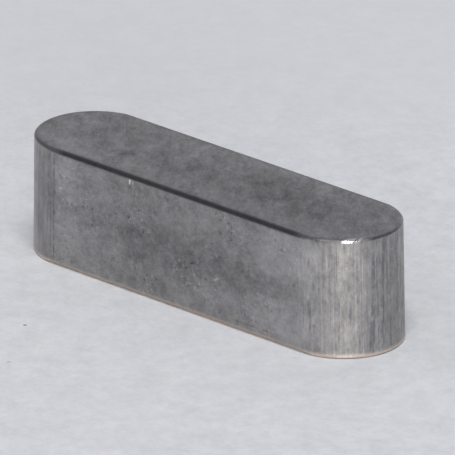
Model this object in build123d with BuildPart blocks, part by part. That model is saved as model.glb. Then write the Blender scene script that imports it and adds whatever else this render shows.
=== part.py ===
from build123d import *
from math import cos, radians, sin
import os

# A round-ended parallel key: square key bar cut to length, with both ends milled to a full radius.
# Millimetres. The origin is the centre of the bottom face, +X runs along the key and +Z points up.

length = 22.0  # over both round ends, at the bottom face
width = 6.0  # across the two flanks, which are the keyway fit
height = 6.0  # bottom face to top face
bar_chamfer = 0.16  # leg of the 45 degree chamfer on the bar's four long edges
end_break = 0.10  # leg of the edge break around each milled end
end_lean = 2.4  # degrees that the +X end leans inwards on its way up: it was milled out of square

os.makedirs("parts", exist_ok=True)

# The bar as it comes from the drawing die, before its ends are milled.
with BuildPart() as bar:
    with BuildSketch(Plane.YZ) as bar_section:
        Rectangle(width, height, align=(Align.CENTER, Align.MIN))
        chamfer(bar_section.vertices(), length=bar_chamfer)
    extrude(amount=length / 2, both=True)

# The cutter's path is a slot as wide as the bar, so each end's radius is half the width and its arc runs
# smoothly into the flanks. The upright pass makes the -X end, the leaning pass makes the +X end, and the
# key is what both passes and the bar share.
with BuildPart() as parallel_key:
    with BuildSketch() as outline:
        SlotOverall(length, width)
    extrude(amount=height)
    lean = radians(end_lean)
    extrude(outline.sketch, amount=height / cos(lean), dir=(-sin(lean), 0, cos(lean)), mode=Mode.INTERSECT)
    chamfer(parallel_key.faces().filter_by(Plane.XY).edges(), length=end_break)
    add(bar.part, mode=Mode.INTERSECT)

parallel_key.part.label = "parallel_key"
export_step(parallel_key.part, "parts/parallel_key.step")
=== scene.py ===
import math

import bmesh
import bpy
import numpy as np
from mathutils import Matrix, Vector


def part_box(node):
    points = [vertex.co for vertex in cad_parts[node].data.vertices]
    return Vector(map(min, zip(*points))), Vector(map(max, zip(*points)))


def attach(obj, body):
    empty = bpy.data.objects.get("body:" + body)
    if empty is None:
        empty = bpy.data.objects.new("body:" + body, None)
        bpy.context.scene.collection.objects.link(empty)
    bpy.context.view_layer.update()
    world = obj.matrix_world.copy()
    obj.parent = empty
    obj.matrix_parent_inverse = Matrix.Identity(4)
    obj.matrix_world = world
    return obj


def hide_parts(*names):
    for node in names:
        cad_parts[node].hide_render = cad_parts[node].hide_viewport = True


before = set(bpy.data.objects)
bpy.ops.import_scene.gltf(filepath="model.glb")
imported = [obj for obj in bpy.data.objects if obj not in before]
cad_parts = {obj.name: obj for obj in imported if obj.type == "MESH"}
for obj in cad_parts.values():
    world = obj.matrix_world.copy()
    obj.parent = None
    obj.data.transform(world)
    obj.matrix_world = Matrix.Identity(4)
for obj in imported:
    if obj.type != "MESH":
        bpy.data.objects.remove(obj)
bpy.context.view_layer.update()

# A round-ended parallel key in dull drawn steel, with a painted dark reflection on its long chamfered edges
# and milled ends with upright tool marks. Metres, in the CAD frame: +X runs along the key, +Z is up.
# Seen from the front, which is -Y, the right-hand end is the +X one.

MM = 0.001
PER_MM = 1000.0

# ---------------------------------------------------------------- sizes of the key

FOOT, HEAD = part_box("parallel_key")
BAR_CHAMFER = 0.16 * MM  # leg of the chamfer on the bar's long edges
END_BREAK = 0.10 * MM  # leg of the edge break round each milled end
LEAN = math.tan(math.radians(2.4))  # how far the right-hand end leans in for each unit of height
FACE_SOFTENING = 0.09 * MM  # how far the chamfer's corner with a face is rounded, along both of its sides
WALL_SOFTENING = 0.03 * MM  # and its corner with the wall
HEIGHT = HEAD[2] - FOOT[2]
END_RADIUS = (HEAD[1] - FOOT[1]) / 2
LEFT_CENTRE = FOOT[0] + END_RADIUS
RIGHT_CENTRE = HEAD[0] + END_BREAK * LEAN - END_RADIUS

MARK_SEED = 22
MARK_WAVES = 90
MARK_DEPTHS = (0.00015 * MM, 0.0005 * MM)  # of the faintest and the deepest wave, before they add up
MARK_LENGTHS = (0.08 * MM, 0.6 * MM)  # the shortest and the longest wave
MARK_DRIFT = 0.35 * PER_MM  # spread of how fast a wave's phase changes with height, in radians per metre
MARK_RUN_IN = 0.1 * MM  # how far past the flank the marks reach their full depth
MARK_CLEARANCE = 1.5 * END_BREAK  # how far from a face they begin
MARK_RISE = 0.2 * MM  # and over what height they reach their full depth
ENDS_APART = 40 * MM  # added to the arc length on the left-hand end, so that the ends' marks differ
SHOULDER_DEPTH = 0.003 * MM  # the cutter's line where the left-hand end meets a flank
SHOULDER_WIDTH = 0.03 * MM

# Small dents in the flanks: place along the key, height, half width, half height, depth, in mm.
FRONT_DENTS = (
    (-3.05, 5.75, 0.035, 0.10, 0.02),
    (-2.42, 4.35, 0.05, 0.06, 0.02),
    (2.58, 2.23, 0.2, 0.03, 0.008),
)
BACK_DENTS = (
    (4.10, 3.9, 0.05, 0.09, 0.015),
    (-5.30, 1.2, 0.12, 0.04, 0.01),
)

# The edge mark is 1 on a strip of each corner that ends at these shares of its legs, and fades from there.
EDGE_CORE_FACE = 0.4
EDGE_CORE_WALL = 0.75
EDGE_FADE_FACE = 0.15 * MM
EDGE_FADE_WALL = 0.06 * MM
CHAMFER_DARK_RUN_OUT = 0.6 * MM  # the length over which the chamfer's painted dark reflection runs out at the bar's ends

FLANK_STEPS = 80  # stations along a flank, before the dents add theirs
DENT_STEPS = 8  # stations across a dent
DENT_SPAN = 2.5  # how many of its half widths those reach to each side
END_STEPS = 380  # stations round an end
FACE_ROWS = 14
FACE_CROWDING = 1.8  # how strongly a face's rows crowd towards the corner, as a power
CORNER_ROWS = 6
CHAMFER_ROWS = 3
WALL_ROWS = 22
WALL_CROWDING = 1.3
LEAST_COSINE = 0.1  # keeps a division finite round an end's tip, where the edge break rules anyway
MERGE_DISTANCE = 1e-8


# ---------------------------------------------------------------- mesh


def flank_walk():
    """Stations along a flank, as shares of its length: evenly spaced, with more of them round each dent.

    The first is 0 and the last is short of 1. Both flanks use the same ones, so that their rows meet point
    for point along the middle of each face.
    """
    length = RIGHT_CENTRE - LEFT_CENTRE
    shares = [np.linspace(0, 1, FLANK_STEPS, endpoint=False)]
    for along, _, half_width, _, _ in FRONT_DENTS + BACK_DENTS:
        spread = np.linspace(-DENT_SPAN, DENT_SPAN, DENT_STEPS) * half_width * MM
        shares.append((along * MM + spread - LEFT_CENTRE) / length)
    return np.unique(np.concatenate(shares))


def outline():
    """Stations round the key, anticlockwise from the start of the front flank.

    Gives the angle of the outward normal, counted from -Y, and the share of the way from the left end's
    centre to the right end's: flank stations move along it, and end stations turn about one of its ends.
    """
    front = flank_walk()
    back = np.append(front[1:], 1.0)[::-1]
    turn = np.linspace(0, np.pi, END_STEPS, endpoint=False)
    angle = np.concatenate([0 * front, turn, 0 * back + np.pi, turn + np.pi])
    share = np.concatenate([front, 0 * turn + 1, back, 0 * turn])
    return angle, share


def bend(start, corner, end, rows):
    """A quadratic arc from start to end, pulled towards corner: (1-q)^2 start + 2q(1-q) corner + q^2 end."""
    q = np.linspace(0, 1, rows)[None, :, None]
    start, corner, end = (p[:, None, :] for p in (start, corner, end))
    return (1 - q) ** 2 * start + 2 * q * (1 - q) * corner + q**2 * end


def line(start, end, shares):
    """Points start + share (end - start), one row for each share."""
    return start[:, None, :] + shares[None, :, None] * (end - start)[:, None, :]


def corner_legs(angle):
    """Each station's corner: its leg on the face, its leg on the wall, and how far it is the bar's chamfer.

    With p the angle from the flank, r the end's radius and c the bar's chamfer, the chamfer's plane leaves
    legs of r - (r - c) / cos p on the face and c - r (1 - cos p) on the wall. Where they fall below the edge
    break, the break takes over. The third value is 1 on the flanks, and 0 where the break has the face.
    """
    cosine = np.maximum(np.abs(np.cos(angle)), LEAST_COSINE)
    bar_leg = END_RADIUS - (END_RADIUS - BAR_CHAMFER) / cosine
    face_leg = np.maximum(END_BREAK, bar_leg)
    wall_leg = np.maximum(END_BREAK, BAR_CHAMFER - END_RADIUS * (1 - cosine))
    bar = np.clip((bar_leg - END_BREAK) / (BAR_CHAMFER - END_BREAK), 0, 1)
    return face_leg, wall_leg, bar


def half_section(face_leg, wall_leg):
    """The section from the middle of a face to mid-height on the wall, as (inset, depth) for each station.

    Inset is measured inwards from the wall, and depth from the face. A slanted line joins the ends of the
    two legs, and an arc rounds it off into the face and into the wall.
    """
    zero = 0 * face_leg
    on_face = np.stack([face_leg, zero], axis=1)
    on_wall = np.stack([zero, wall_leg], axis=1)
    slope = (on_wall - on_face) / np.linalg.norm(on_wall - on_face, axis=1)[:, None]
    across = np.array([[FACE_SOFTENING, 0.0]])
    down = np.array([[0.0, WALL_SOFTENING]])
    slant_start = on_face + FACE_SOFTENING * slope
    slant_end = on_wall - WALL_SOFTENING * slope
    middle = np.stack([zero + END_RADIUS, zero], axis=1)
    waist = np.stack([zero, zero + HEIGHT / 2], axis=1)
    parts = [
        line(middle, on_face + across, 1 - np.linspace(1, 0, FACE_ROWS) ** FACE_CROWDING),
        bend(on_face + across, on_face, slant_start, CORNER_ROWS),
        line(slant_start, slant_end, np.linspace(0, 1, CHAMFER_ROWS)),
        bend(slant_end, on_wall, on_wall + down, CORNER_ROWS),
        line(on_wall + down, waist, np.linspace(0, 1, WALL_ROWS) ** WALL_CROWDING),
    ]
    return np.concatenate([parts[0]] + [p[:, 1:] for p in parts[1:]], axis=1)


def section_marks(section, face_leg, wall_leg):
    """Marks of the section's points: wall, for each row, and edge, for each station and row.

    Wall rises from 0 on the face to 1 on the wall, along the slanted line's rows. Edge is exp(-f^2 - w^2),
    with f and w how many fade lengths the point lies past the edge's core, towards the face and the wall.
    """
    slant_start = FACE_ROWS + CORNER_ROWS - 2
    slant_end = slant_start + CHAMFER_ROWS - 1
    wall = np.clip((np.arange(section.shape[1]) - slant_start) / (slant_end - slant_start), 0, 1)
    past_face = np.maximum(section[:, :, 0] - face_leg[:, None] * EDGE_CORE_FACE, 0) / EDGE_FADE_FACE
    past_wall = np.maximum(section[:, :, 1] - wall_leg[:, None] * EDGE_CORE_WALL, 0) / EDGE_FADE_WALL
    return wall, np.exp(-(past_face**2) - past_wall**2)


def wave_marks(arc, z):
    """Depth of the tool marks: a sum of cosines of the arc length whose phases drift with height.

    The sum is lowered until no part of it stands proud of the surface.
    """
    draw = np.random.default_rng(MARK_SEED)
    lengths = np.geomspace(*MARK_LENGTHS, MARK_WAVES)
    phases = draw.uniform(0, 2 * np.pi, MARK_WAVES)
    drifts = draw.normal(0, MARK_DRIFT, MARK_WAVES)
    sizes = draw.uniform(*MARK_DEPTHS, MARK_WAVES)
    depth = np.zeros(arc.shape)
    for length, phase, drift, size in zip(lengths, phases, drifts, sizes):
        depth += size * np.cos(2 * np.pi * arc / length + phase + drift * z)
    return depth - depth.min()


def tool_marks(angle, z):
    """Inset of the milled ends: upright marks that fade out at the flanks and below each face.

    The left-hand end also has a line beside each flank, a Gaussian of the arc length from there.
    """
    left = angle > np.pi
    on_flank = np.isin(angle, (0.0, np.pi))
    past = np.where(on_flank, 0, angle - left * np.pi)
    from_flank = np.minimum(past, np.pi - past) * END_RADIUS
    arc = END_RADIUS * past + left * ENDS_APART
    marks = wave_marks(arc[:, None] + 0 * z, z) * np.clip(from_flank / MARK_RUN_IN, 0, 1)[:, None]
    shoulder = left * SHOULDER_DEPTH * np.exp(-((from_flank / SHOULDER_WIDTH) ** 2))
    below_edge = np.clip((np.minimum(z, HEIGHT - z) - MARK_CLEARANCE) / MARK_RISE, 0, 1)
    return below_edge * np.where((past > 0)[:, None], marks + shoulder[:, None], 0)


def dent_depth(angle, x, z):
    """Inset of the flanks' small dents: each is a Gaussian of the place along the key and the height."""
    depth = np.zeros(x.shape)
    for side, dents in ((0.0, FRONT_DENTS), (np.pi, BACK_DENTS)):
        here = (angle == side)[:, None]
        for along, height, half_width, half_height, deep in dents:
            across = (x * PER_MM - along) / half_width
            up = (z * PER_MM - height) / half_height
            depth += here * deep * MM * np.exp(-(across**2) - up**2)
    return depth


def both_halves(half, axis=1):
    """A half section's values, followed by the same ones from the middle row back to the first."""
    mirrored = np.flip(half, axis=axis)
    return np.concatenate([half, np.delete(mirrored, 0, axis=axis)], axis=axis)


def key_grid():
    """The key's surface as a grid: one column for each station, one row for each point of the section.

    A point with inset i and height z lies at (centre + (r - i) n, z), where n is the station's outward
    normal and centre slides from the left end's centre to the right end's, which moves in by lean z.
    """
    angle, share = outline()
    face_leg, wall_leg, bar = corner_legs(angle)
    section = half_section(face_leg, wall_leg)
    wall, edge = section_marks(section, face_leg, wall_leg)
    wall = both_halves(wall, axis=0)
    edge = both_halves(edge)
    inset = both_halves(section[:, :, 0])
    depth = section[:, :, 1]
    z = np.concatenate([depth, HEIGHT - depth[:, ::-1][:, 1:]], axis=1)
    centre = LEFT_CENTRE + share[:, None] * (RIGHT_CENTRE - LEAN * z - LEFT_CENTRE)
    along = centre + (END_RADIUS - inset) * np.sin(angle)[:, None]
    inset = inset + tool_marks(angle, z) + wall * dent_depth(angle, along, z)
    x = centre + (END_RADIUS - inset) * np.sin(angle)[:, None]
    y = -(END_RADIUS - inset) * np.cos(angle)[:, None]
    from_end = np.minimum(along - LEFT_CENTRE, RIGHT_CENTRE - along)
    # The bar's chamfer takes a painted dark reflection, which runs out towards the ends.
    scale = bar[:, None] * edge * np.clip(from_end / CHAMFER_DARK_RUN_OUT, 0, 1)
    marks = {"wall": wall + 0 * z, "edge": edge, "bar_chamfer": scale}
    return np.stack([x, y, z + FOOT[2]], axis=2), marks


def grid_faces(stations, rows):
    """Quads of a grid that closes on itself round the stations, wound so that they face outwards."""
    station = np.arange(stations)[:, None]
    row = np.arange(rows - 1)[None, :]
    beside = (station + 1) % stations
    corners = [station * rows + row, beside * rows + row, beside * rows + row + 1, station * rows + row + 1]
    return np.stack([np.broadcast_to(c, (stations, rows - 1)) for c in corners], axis=2).reshape(-1, 4)


def key_body():
    """The key as one closed mesh. The middle rows of both faces meet on the centre line, and are merged."""
    points, marks = key_grid()
    mesh = bpy.data.meshes.new("key_body")
    mesh.from_pydata(points.reshape(-1, 3).tolist(), [], grid_faces(*points.shape[:2]).tolist())
    for name, values in marks.items():
        mesh.attributes.new(name, "FLOAT", "POINT").data.foreach_set("value", values.ravel())
    shell = bmesh.new()
    shell.from_mesh(mesh)
    bmesh.ops.remove_doubles(shell, verts=shell.verts, dist=MERGE_DISTANCE)
    bmesh.ops.dissolve_degenerate(shell, edges=shell.edges, dist=MERGE_DISTANCE)
    shell.to_mesh(mesh)
    shell.free()
    mesh.shade_smooth()
    body = bpy.data.objects.new("key_body", mesh)
    bpy.context.scene.collection.objects.link(body)
    return body


# ---------------------------------------------------------------- node materials


class Value:
    """A number that a shader works out: each operator adds one Math node."""

    def __init__(self, finish, socket):
        self.finish = finish
        self.socket = socket

    def maths(self, operation, *numbers):
        """The result of one Math node."""
        sockets = dict(enumerate(numbers))
        return self.finish.number("ShaderNodeMath", {"operation": operation}, sockets)

    def __add__(self, other):
        return self.maths("ADD", self, other)

    def __sub__(self, other):
        return self.maths("SUBTRACT", self, other)

    def __rsub__(self, other):
        return self.maths("SUBTRACT", other, self)

    def __mul__(self, other):
        return self.maths("MULTIPLY", self, other)

    def __abs__(self):
        return self.maths("ABSOLUTE", self)

    __radd__ = __add__
    __rmul__ = __mul__

    def step(self, low, high):
        """0 at low and 1 at high, with a smooth rise between them. Low may be the greater of the two."""
        sockets = {"Value": self, "From Min": low, "From Max": high}
        settings = {"interpolation_type": "SMOOTHSTEP"}
        return self.finish.number("ShaderNodeMapRange", settings, sockets)


class Finish:
    """A node tree that is filled by one method."""

    def __init__(self, tree):
        tree.nodes.clear()
        self.tree = tree

    def node(self, kind, settings=None, sockets=None):
        """Adds a node, sets its settings first, then gives its sockets their values or links."""
        node = self.tree.nodes.new(kind)
        for name, setting in (settings or {}).items():
            setattr(node, name, setting)
        for name, given in (sockets or {}).items():
            given = given.socket if isinstance(given, Value) else given
            if isinstance(given, bpy.types.NodeSocket):
                self.tree.links.new(given, node.inputs[name])
            else:
                node.inputs[name].default_value = given
        return node

    def number(self, kind, settings=None, sockets=None):
        """The first output of a new node, as a Value."""
        return Value(self, self.node(kind, settings, sockets).outputs[0])

    def vector(self, operation, first, second):
        """The vector that one Vector Math node gives."""
        return self.node("ShaderNodeVectorMath", {"operation": operation}, {0: first, 1: second}).outputs[0]

    def dot(self, first, second):
        """The dot product of two vectors."""
        node = self.node("ShaderNodeVectorMath", {"operation": "DOT_PRODUCT"}, {0: first, 1: second})
        return Value(self, node.outputs["Value"])

    def turned(self, place, axis, degrees):
        """place turned about the axis through the origin, such as "Z_AXIS"."""
        sockets = {"Vector": place, "Angle": math.radians(degrees)}
        return self.node("ShaderNodeVectorRotate", {"rotation_type": axis}, sockets).outputs[0]

    def tall(self, place, share):
        """place with its height times share, so that a pattern there is drawn out upwards."""
        return self.vector("MULTIPLY", place, (1.0, 1.0, share))

    def millimetres(self):
        """The piece's own coordinates, in mm."""
        place = self.node("ShaderNodeTexCoord").outputs["Object"]
        return self.vector("MULTIPLY", place, (PER_MM,) * 3)

    def mix(self, share, first, second, blend="MIX"):
        """first where share is 0 and second where it is 1, as colours."""
        sockets = {0: share, 6: first, 7: second}
        return self.node("ShaderNodeMix", {"data_type": "RGBA", "blend_type": blend}, sockets).outputs[2]

    def shaded(self, colour, tone):
        """colour times a grey of that tone."""
        grey = self.node("ShaderNodeCombineColor", sockets={0: tone, 1: tone, 2: tone}).outputs[0]
        return self.mix(1.0, colour, grey, "MULTIPLY")

    def noise(self, place, scale, detail=0.0, roughness=0.5, shift=0.0):
        """Cloudy noise about 0, which seldom passes 0.5 either way. Each shift gives another pattern."""
        settings = {"noise_dimensions": "4D"}
        sockets = {"Vector": place, "Scale": scale, "Detail": detail, "Roughness": roughness, "W": shift}
        return self.number("ShaderNodeTexNoise", settings, sockets) - 0.5

    def mark(self, name):
        """One of the mesh's own marks."""
        return Value(self, self.node("ShaderNodeAttribute", {"attribute_name": name}).outputs["Fac"])

    def patch(self, place, centre, reach, turn=None):
        """1 at the centre of an ellipsoid and 0 past its reach, with a smooth fall between them."""
        away = self.vector("SUBTRACT", place, centre)
        if turn:
            away = self.turned(away, *turn)
        away = self.vector("MULTIPLY", away, tuple(1 / r for r in reach))
        far = self.node("ShaderNodeVectorMath", {"operation": "LENGTH"}, {0: away}).outputs["Value"]
        return Value(self, far).step(1.0, 0.1)

    def principled(self, sockets):
        """Ends the material with a Principled surface that has these values or links."""
        surface = self.node("ShaderNodeBsdfPrincipled", sockets=sockets)
        self.node("ShaderNodeOutputMaterial", sockets={"Surface": surface.outputs[0]})


def new_finish(name):
    """A material with an empty node tree."""
    material = bpy.data.materials.new(name)
    material.use_nodes = True
    return material, Finish(material.node_tree)


# ---------------------------------------------------------------- the key's steel

# The faces' steel is the flanks' drawn steel with painted shade, darker to offset the overhead lamp.
SHADED_FACE_STEEL = (0.240, 0.237, 0.240, 1)
FLANK_STEEL = (0.306, 0.301, 0.299, 1)
MILLED_STEEL = (0.366, 0.354, 0.349, 1)
TORN_STEEL = (0.140, 0.152, 0.172, 1)
SHOULDER_STEEL = (0.10, 0.10, 0.10, 1)
# Painted dark reflection of a dark room, on all the edges.
EDGE_DARK_REFLECTION = (0.110, 0.110, 0.113, 1)
MATT_STEEL = (0.185, 0.182, 0.183, 1)
# Painted highlight: bright steel where the lamps are mirrored in the right-hand end's rim.
PAINTED_GLINT_STEEL = (0.85, 0.85, 0.86, 1)
# Painted dark reflection on the bar's chamfer, darker than on the other edges.
CHAMFER_DARK_REFLECTION = (0.040, 0.040, 0.042, 1)
# Painted reflection of the paper: pale, warm steel at the walls' foot, which also covers the contact shade.
PAINTED_PAPER_REFLECTION = (0.93, 0.80, 0.70, 1)
BLUER = (0.98, 0.995, 1.04, 1)
REDDER = (1.02, 1.0, 0.97, 1)

GRAIN_DIRECTION = 42  # degrees from +Y towards -X, along which the flats' mottling is drawn out
FOOT_BAND = 0.32  # height in mm over which the walls take the painted pale reflection of the paper

# Places along the key in mm, on the front of the right-hand end's rim. A pair is where a change begins and
# where it is complete.
MATT_START = (8.3, 9.5)
# Where the rim's painted highlight begins and where it ends.
GLINT_START = (9.74, 9.86)
GLINT_END = (10.26, 10.34)
GLINT_GAP_PLACE = 10.185  # a painted gap across the painted highlight, which splits it in two
GLINT_GAP_REACH = (0.045, 0.015)  # from outside to inside

# Broad patches: centre and reach in mm, then how much darker or lighter. One of them is painted shade.
BROAD_PATCHES = (
    ((-0.3, -3, 3.0), (8.4, 1.4, 2.1), -0.26),
    ((-1.4, -3, 2.2), (3.4, 1.4, 1.5), -0.06),
    ((4.4, -3, 2.9), (3.2, 1.4, 0.9), -0.09),
    ((-2.0, -3, 0.8), (3.4, 1.4, 0.8), -0.15),
    ((-2.4, -3, 5.0), (3.6, 1.4, 1.2), -0.07),
    ((6.8, -3, 4.6), (2.9, 1.4, 1.9), 0.34),
    ((7.0, -3, 1.3), (3.6, 1.4, 1.7), 0.32),
    ((-7.0, -3, 4.9), (2.1, 1.4, 2.0), 0.20),
    ((-6.9, -3, 1.6), (2.1, 1.4, 2.0), 0.22),
    ((-0.6, -3, 2.3), (1.0, 1.4, 1.1), 0.10),
    ((2.6, -3, 1.6), (2.2, 1.4, 1.1), 0.13),
    ((4.2, 0.1, 6), (6.2, 2.3, 1.4), -0.21),
    ((2.6, 1.0, 6), (1.1, 0.9, 1.0), -0.20),
    ((1.4, 0.4, 6), (1.0, 1.0, 1.0), -0.12),
    ((3.8, -0.1, 6), (1.1, 0.8, 1.0), -0.20),
    ((6.2, -0.8, 6), (1.7, 0.9, 1.0), -0.14),
    ((8.7, -0.8, 6), (1.0, 0.8, 1.0), -0.10),
    ((-1.6, -0.4, 6), (2.2, 1.4, 1.0), -0.12),
    ((-5.4, -1.0, 6), (0.9, 0.7, 1.0), -0.22),
    ((-3.1, -1.2, 6), (0.9, 0.7, 1.0), -0.12),
    ((-8.6, 1.1, 6), (1.1, 0.6, 1.0), -0.12),
    ((-8.0, -1.9, 6), (3.2, 1.2, 1.4), 0.26),
    ((-4.0, -2.0, 6), (3.2, 1.0, 1.4), 0.14),
    ((-4.9, 2.2, 6), (1.2, 1.0, 1.4), 0.14),
    ((-3.0, 1.8, 6), (1.8, 1.1, 1.4), 0.22),
    ((-0.7, 2.2, 6), (1.5, 0.9, 1.4), 0.18),
    ((3.5, 2.5, 6), (6.4, 1.0, 1.4), 0.18),
    ((-6.2, -0.2, 6), (0.9, 0.8, 1.0), 0.14),
    ((-9.6, 0.2, 6), (1.8, 2.4, 1.0), 0.14),
    ((0.8, 3, 2.8), (7.8, 1.4, 1.9), -0.22),
    ((-6.6, 3, 4.2), (2.4, 1.4, 2.1), 0.16),
    ((6.9, 3, 1.6), (2.2, 1.4, 2.3), 0.12),
    ((-1.0, 0.2, 0), (7.0, 2.4, 1.4), -0.14),
    ((6.0, -1.6, 0), (3.2, 1.3, 1.4), 0.10),
    ((-10.8, -1.0, 3.2), (1.4, 1.0, 5.0), -0.20),
    ((-8.75, -2.9, 3.0), (1.3, 1.1, 8.0), -0.24),
    # Painted shade: the far side of the right-hand end is darker where the room's dark side falls.
    ((10.8, 0.9, 3.0), (1.3, 1.8, 4.5), -0.18),
    ((11.0, -0.6, 1.0), (1.2, 0.9, 2.4), 0.10),
    ((10.9, -1.3, 4.6), (1.2, 0.8, 1.8), 0.10),
    ((8.6, -3.0, 4.4), (1.3, 0.8, 2.8), 0.20),
    ((9.75, -2.3, 3.0), (0.8, 0.8, 9.0), -0.12),
    ((9.2, -2.7, 1.8), (1.0, 0.8, 2.4), 0.09),
)
PATCH_WANDERING = 1.8  # how far the slow noise carries a patch's edge, in mm for each unit of the noise

# Small marks: centre and reach in mm, how they are turned, then how much darker or lighter.
SMALL_MARKS = (
    ((2.58, -3, 2.23), (0.40, 0.3, 0.09), ("Y_AXIS", 27), 0.55),
    ((-3.05, -3, 5.68), (0.09, 0.3, 0.22), None, 1.7),
    ((-2.84, -3, 5.66), (0.07, 0.3, 0.16), None, 0.8),
    ((-2.42, -3, 4.35), (0.13, 0.3, 0.12), None, -0.4),
    ((7.92, -3, 5.05), (0.13, 0.3, 0.28), None, -0.35),
    ((8.72, -2.9, 1.56), (0.16, 0.3, 0.16), None, -0.35),
    ((4.9, -3, 0.47), (2.8, 0.3, 0.07), None, -0.16),
    ((-7.72, -3, 3.0), (0.34, 0.3, 6.0), None, 0.11),
    ((-8.9, -1.06, 6), (0.20, 0.14, 0.3), None, -0.25),
    ((-7.25, 1.6, 6), (0.22, 0.14, 0.3), None, -0.22),
    ((-3.0, -1.1, 6), (0.20, 0.14, 0.3), None, -0.22),
    ((-1.7, -1.4, 6), (0.22, 0.16, 0.3), None, -0.22),
    ((6.3, 1.25, 6), (0.24, 0.16, 0.3), None, -0.28),
    ((6.25, -0.6, 6), (0.22, 0.16, 0.3), None, -0.22),
    ((-0.2, 0.9, 6), (0.34, 0.09, 0.3), ("Z_AXIS", 18), 0.4),
    ((3.1, 3, 4.4), (0.45, 0.3, 0.07), ("Y_AXIS", -35), 0.4),
    ((-4.3, 3, 2.0), (0.13, 0.3, 0.15), None, -0.35),
)


class SteelPlace:
    """What the steel's finish reads at a point of the key: its place in mm, and shares from 0 to about 1.

    upright is the place with the right-hand end stood up straight, so that its tool marks lean with it.
    past_end_start is how far the point lies past the line where a flank turns into an end. The shares are
    wall (or face), edge (which takes a painted dark reflection), foot (which takes a painted reflection of
    the paper), milled (or drawn), shoulder (the line at an end's start), scale (the bar chamfer's painted
    dark reflection), and the rim's matt and painted highlight.
    """

    def __init__(self, f):
        self.mm = f.millimetres()
        split = f.node("ShaderNodeSeparateXYZ", sockets={0: self.mm})
        self.x, self.y, self.z = (Value(f, split.outputs[axis]) for axis in "XYZ")
        straight = self.x + self.z * (self.x.step(0.0, 4.0) * LEAN)
        self.upright = f.node("ShaderNodeCombineXYZ", sockets={0: straight, 1: self.y, 2: self.z}).outputs[0]
        self.past_end_start = abs(straight) - LEFT_CENTRE * -PER_MM
        self.wall = f.mark("wall").step(0.3, 0.7)
        self.edge = f.mark("edge")
        self.foot = self.z.step(FOOT_BAND, 0.0)
        ragged = f.noise(f.tall(self.mm, 0.4), scale=3.0, detail=4.0, roughness=1.0, shift=11.0)
        self.milled = (self.past_end_start + ragged * 2.5).step(-0.25, 0.45) * self.wall
        worn = f.noise(self.mm, scale=2.0, detail=2.0, shift=17.0).step(-0.15, 0.15)
        near_line = abs(self.past_end_start + ragged * 0.12).step(0.09, 0.0)
        self.shoulder = near_line * self.x.step(0.0, -1.0) * self.wall * worn
        # scale: the bar chamfer's painted dark reflection, made patchy.
        patchy = f.noise(self.mm, scale=2.2, detail=3.0, roughness=0.9, shift=23.0)
        self.scale = f.mark("bar_chamfer") * (1.0 + patchy * 0.9)
        self.matt, self.painted_glint = rim_matt_and_glint(self)


def rim_matt_and_glint(p):
    """How matt the front of the right-hand end's rim is, and where it has its painted highlight.

    The painted highlight parts the matt stretch, and a painted gap crosses it, splitting it in two.
    """
    front = p.edge * p.y.step(-0.6, -1.4)
    past_start = p.x.step(*GLINT_START)
    past_end = p.x.step(*GLINT_END)
    glint_gap = abs(p.x - GLINT_GAP_PLACE).step(*GLINT_GAP_REACH)
    matt = front * (p.x.step(*MATT_START) * (1.0 - past_start) + past_end)
    painted_glint = front * past_start * (1.0 - past_end) * (1.0 - glint_gap)
    return matt, painted_glint


def patched_tone(f, p):
    """How light the steel is through its broad patches and small marks. One patch is painted shade.

    The patches' edges wander with a slow noise, and the small marks stay where they are.
    """
    slow = f.node("ShaderNodeTexNoise", sockets={"Vector": p.mm, "Scale": 0.9, "Detail": 3.0})
    drift = f.vector("SUBTRACT", slow.outputs["Color"], (0.5,) * 3)
    wandering = f.vector("ADD", p.mm, f.vector("MULTIPLY", drift, (PATCH_WANDERING,) * 3))
    tone = 1.0
    for centre, reach, change in BROAD_PATCHES:
        tone = f.patch(wandering, centre, reach) * change + tone
    for centre, reach, turn, change in SMALL_MARKS:
        tone = f.patch(p.mm, centre, reach, turn) * change + tone
    return tone


def mottled(f, p):
    """Mottling of the drawn flats, about 0: clouds of every size, with dark pits and bright grains in crowds.

    The flanks are more pitted than the faces, and the faces are cloudier.
    """
    drawn_out = f.vector("MULTIPLY", f.turned(p.mm, "Z_AXIS", -GRAIN_DIRECTION), (1.0, 0.5, 0.9))
    cloudy = f.noise(drawn_out, scale=1.3, detail=5.0, roughness=0.9)
    crowd = f.noise(p.mm, scale=0.55, detail=1.0, shift=7.0).step(-0.16, 0.16)
    pits = f.noise(drawn_out, scale=6.0, detail=1.0, roughness=0.8, shift=5.0).step(0.06, 0.26)
    grains = f.noise(drawn_out, scale=6.5, detail=1.0, roughness=0.8, shift=9.0).step(0.06, 0.26)
    return cloudy * (2.75 - p.wall * 0.8) + (grains - pits) * crowd * (p.wall * 0.32 + 0.13)


def milled_tone(f, p):
    """How light the milled ends are, about 0: straight upright lines that come and go over cloudy patches."""
    lines = f.noise(f.tall(p.upright, 0.012), scale=7.0, detail=1.0, roughness=0.8, shift=1.0)
    shown = f.noise(f.tall(p.upright, 0.4), scale=2.2, detail=1.0, shift=3.0).step(-0.2, 0.2)
    bright = f.noise(f.tall(p.upright, 0.03), scale=9.0, shift=2.0).step(0.06, 0.2)
    gaps = f.noise(f.tall(p.upright, 0.3), scale=4.0, detail=1.0, shift=5.0).step(0.0, 0.2)
    broad = f.noise(f.tall(p.upright, 0.15), scale=1.4, detail=1.0, shift=4.0)
    grain = f.noise(f.tall(p.upright, 0.55), scale=2.4, detail=5.0, roughness=0.9, shift=6.0)
    return lines * (shown * 0.5 + 0.2) + bright * gaps * 0.3 + broad * 0.15 + grain * 1.9


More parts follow.
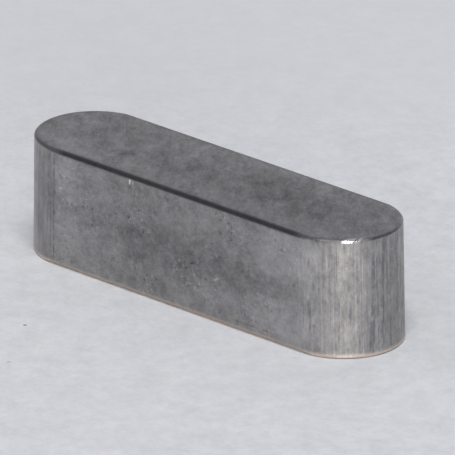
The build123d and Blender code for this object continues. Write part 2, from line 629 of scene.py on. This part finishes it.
def torn(f, p):
    """Dark upright dashes where the cutter tore the steel: most near each end's tip and where it starts."""
    dashes = f.noise(f.tall(p.upright, 0.03), scale=8.5, shift=9.0).step(0.0, 0.16)
    gaps = f.noise(f.tall(p.upright, 0.35), scale=3.2, detail=2.0, roughness=0.8, shift=8.0)
    tip = (1.0 - abs(p.y) * 0.33) * 0.16
    start = (p.past_end_start - 0.1).step(-0.5, 0.0) * p.past_end_start.step(0.9, 0.3) * 0.12
    return dashes * (gaps + tip + start).step(0.0, 0.22)


def flats_colour(f, p, patch_tone):
    """Drawn steel, mottled, with a hue that wanders a little, and painted shade that keeps the faces darker.
    """
    colour = f.shaded(f.mix(p.wall, SHADED_FACE_STEEL, FLANK_STEEL), patch_tone + mottled(f, p))
    hue = f.noise(p.mm, scale=2.5, detail=2.0, roughness=0.8, shift=21.0).step(-0.2, 0.2)
    return f.mix(1.0, colour, f.mix(hue, BLUER, REDDER), "MULTIPLY")


def ends_colour(f, p, patch_tone):
    """Milled steel with its upright lines, which are fainter on the left-hand end."""
    strength = p.x.step(-4.0, 4.0) * 0.45 + 0.55
    colour = f.shaded(MILLED_STEEL, patch_tone + milled_tone(f, p) * strength)
    return f.mix(torn(f, p) * 0.6, colour, TORN_STEEL)


def with_edges(f, p, colour):
    """colour, with the edges' painted dark reflection laid over it, then the rim's matt stretch and painted
    highlight, the bar chamfer's painted dark reflection and, at the foot, a painted pale reflection of the
    paper.

    The number beside each mark is how well it covers what is under it. The painted dark reflection covers
    less and less along the right-hand end, in two steps.
    """
    darkness = 0.85 - p.x.step(7.5, 8.5) * 0.2 - p.x.step(9.7, 9.9) * 0.6
    colour = f.mix(p.edge * darkness, colour, EDGE_DARK_REFLECTION)
    colour = f.mix(p.matt * 0.8, colour, MATT_STEEL)
    colour = f.mix(p.painted_glint * 0.85, colour, PAINTED_GLINT_STEEL)
    colour = f.mix(p.scale * 0.76, colour, CHAMFER_DARK_REFLECTION)
    return f.mix(p.foot * 0.9, colour, PAINTED_PAPER_REFLECTION)


def steel_roughness(f, p):
    """Uneven all over, smoother on the edges, most of all at the right-hand tip, and dull where matt."""
    uneven = f.noise(p.mm, scale=2.0, detail=3.0, roughness=0.8, shift=12.0) * 0.2
    smoother = p.edge * (p.x.step(9.0, 9.7) * 0.1 + 0.24)
    return 0.42 + uneven - smoother + p.matt * 0.5 + p.foot * 0.4


def steel_bump(f, p):
    """Fine roughness in relief: even on the flats, and drawn out upwards on the milled ends."""
    even = f.noise(p.mm, scale=8.0, detail=2.0, roughness=0.8, shift=13.0) * (1.0 - p.milled)
    drawn_up = f.noise(f.tall(p.upright, 0.12), scale=12.0, detail=1.0, shift=14.0) * p.milled
    sockets = {"Height": even + drawn_up, "Strength": 0.3, "Distance": 0.01 * MM}
    return f.node("ShaderNodeBump", sockets=sockets).outputs[0]


def key_steel():
    """Dull drawn steel on the flats, brighter milled steel on the ends, painted dark reflection on the edges.
    """
    material, f = new_finish("key_steel")
    p = SteelPlace(f)
    patch_tone = patched_tone(f, p)
    colour = f.mix(p.milled, flats_colour(f, p, patch_tone), ends_colour(f, p, patch_tone))
    colour = f.mix(p.shoulder * 0.5, colour, SHOULDER_STEEL)
    f.principled(
        {
            "Base Color": with_edges(f, p, colour),
            "Metallic": 1.0,
            "Roughness": steel_roughness(f, p),
            "Normal": steel_bump(f, p),
        }
    )
    return material


# ---------------------------------------------------------------- stage, light and camera

FLOOR_HALF = 1.5
PAPER = (0.600, 0.607, 0.636, 1)
PAPER_BLUER = (0.99, 1.0, 1.01, 1)
PAPER_REDDER = (1.01, 1.0, 0.99, 1)
NEAR_SIDE = 40  # azimuth of the side where the paper's grain shows most

# Specks of dust on the paper: centre and reach in mm, then how much darker.
SPECKS = (
    ((-3.79, -9.50, 0), (0.14, 0.16, 1.0), -0.75),
    ((-1.25, -13.35, 0), (0.16, 0.20, 1.0), -0.25),
)

PALE_ROOM = (0.56, 0.565, 0.59, 1)
DARK_SIDE = (0.30, 0.312, 0.34, 1)
DARK_AZIMUTH = 125  # the middle of the room's dark side
DARK_ELEVATION = 35
DARK_INNER = 25  # degrees from its middle within which it is fully dark
DARK_OUTER = 62  # and past which it is gone

# Each softbox: azimuth and elevation in degrees, distance, width and height in metres, radiance, tint. The
# window lights the walls, the overhead the paper, and the two lamps are mirrored in the rim's painted
# highlight.
SOFTBOXES = {
    "window": (50, 7, 0.6, 0.32, 0.13, 11.4, (1.0, 0.98, 0.925)),
    "overhead": (44, 72, 0.9, 0.28, 0.28, 16.6, (1.0, 0.99, 0.97)),
    "lamp": (70, 67, 0.5, 0.045, 0.035, 11.0, (1.0, 1.0, 1.0)),
    "second_lamp": (92, 67, 0.5, 0.022, 0.04, 15.0, (1.0, 1.0, 1.0)),
}

CAMERA_AZIMUTH = 41.88
CAMERA_ELEVATION = 22.06
CAMERA_ROLL = 0.68  # degrees
CAMERA_DISTANCE = 0.53126
CAMERA_RIGHT = 0.467 * MM  # how far it stands off the line through the origin, to its right
CAMERA_UP = 3.052 * MM  # and upwards
CAMERA_LENS = 875.1  # in mm, as is the sensor
CAMERA_SENSOR = 36.0


def direction(azimuth, elevation):
    """Unit vector from the key: azimuth from -Y towards +X, elevation above the floor, in degrees."""
    a, e = math.radians(azimuth), math.radians(elevation)
    return Vector((math.sin(a) * math.cos(e), -math.cos(a) * math.cos(e), math.sin(e)))


def paper():
    """Pale matt paper with a faint grain, which is fainter far behind the key, and two specks of dust."""
    material, f = new_finish("paper")
    mm = f.millimetres()
    strength = f.dot(mm, tuple(direction(NEAR_SIDE, 0))).step(-32.0, -14.0) * 0.65 + 0.35
    grain = f.noise(mm, scale=0.7, detail=3.0, roughness=1.0, shift=2.0)
    tone = 1.0 + f.noise(mm, scale=0.15, detail=2.0, roughness=0.7) * 0.02 + grain * strength * 0.42
    for centre, reach, change in SPECKS:
        tone = f.patch(mm, centre, reach) * change + tone
    warmth = f.noise(mm, scale=0.6, detail=3.0, roughness=0.8, shift=4.0).step(-0.25, 0.25)
    colour = f.mix(1.0, f.shaded(PAPER, tone), f.mix(warmth, PAPER_BLUER, PAPER_REDDER), "MULTIPLY")
    f.principled({"Base Color": colour, "Roughness": 0.9, "Specular IOR Level": 0.0})
    return material


def paper_floor():
    """One square of paper at the foot's height, which belongs to the stage."""
    mesh = bpy.data.meshes.new("paper_floor")
    corners = [(x * FLOOR_HALF, y * FLOOR_HALF, FOOT[2]) for x, y in ((-1, -1), (1, -1), (1, 1), (-1, 1))]
    mesh.from_pydata(corners, [], [(0, 1, 2, 3)])
    floor = bpy.data.objects.new("paper_floor", mesh)
    bpy.context.scene.collection.objects.link(floor)
    mesh.materials.append(paper())


def studio():
    """A pale room with a darker side behind the key's right-hand end, as a soft patch of the world."""
    world = bpy.data.worlds.new("studio")
    world.use_nodes = True
    bpy.context.scene.world = world
    f = Finish(world.node_tree)
    towards = f.node("ShaderNodeTexCoord").outputs["Generated"]
    nearness = f.dot(towards, tuple(direction(DARK_AZIMUTH, DARK_ELEVATION)))
    dark = nearness.step(math.cos(math.radians(DARK_OUTER)), math.cos(math.radians(DARK_INNER)))
    colour = f.mix(dark, PALE_ROOM, DARK_SIDE)
    glow = f.node("ShaderNodeBackground", sockets={"Color": colour, "Strength": 1.0})
    f.node("ShaderNodeOutputWorld", sockets={"Surface": glow.outputs[0]})


def softbox(name, azimuth, elevation, distance, width, height, radiance, tint):
    """A rectangular lamp that faces the key. Its power is radiance times pi times its area."""
    lamp = bpy.data.lights.new(name, "AREA")
    lamp.shape = "RECTANGLE"
    lamp.size = width
    lamp.size_y = height
    lamp.energy = radiance * math.pi * width * height
    lamp.color = tint
    holder = bpy.data.objects.new(name, lamp)
    bpy.context.scene.collection.objects.link(holder)
    away = direction(azimuth, elevation)
    holder.location = away * distance
    holder.rotation_euler = away.to_track_quat("Z", "Y").to_euler()
    holder.visible_camera = False


def camera():
    """A long lens that looks down on the key past its right-hand end, rolled a little."""
    back = direction(CAMERA_AZIMUTH, CAMERA_ELEVATION)
    level = direction(CAMERA_AZIMUTH + 90, 0)
    upright = back.cross(level)
    roll = math.radians(CAMERA_ROLL)
    right = math.cos(roll) * level + math.sin(roll) * upright
    up = math.cos(roll) * upright - math.sin(roll) * level
    lens = bpy.data.cameras.new("camera")
    lens.lens = CAMERA_LENS
    lens.sensor_width = CAMERA_SENSOR
    holder = bpy.data.objects.new("camera", lens)
    bpy.context.scene.collection.objects.link(holder)
    place = back * CAMERA_DISTANCE + right * CAMERA_RIGHT + up * CAMERA_UP
    turn = Matrix((right, up, back)).transposed().to_4x4()
    holder.matrix_world = Matrix.Translation(place) @ turn
    bpy.context.scene.camera = holder


# ---------------------------------------------------------------- the scene

key = key_body()
key.data.materials.append(key_steel())
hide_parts("parallel_key")
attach(key, "root")

paper_floor()
studio()
for name, settings in SOFTBOXES.items():
    softbox(name, *settings)
camera()

bpy.context.scene.view_settings.view_transform = "Standard"
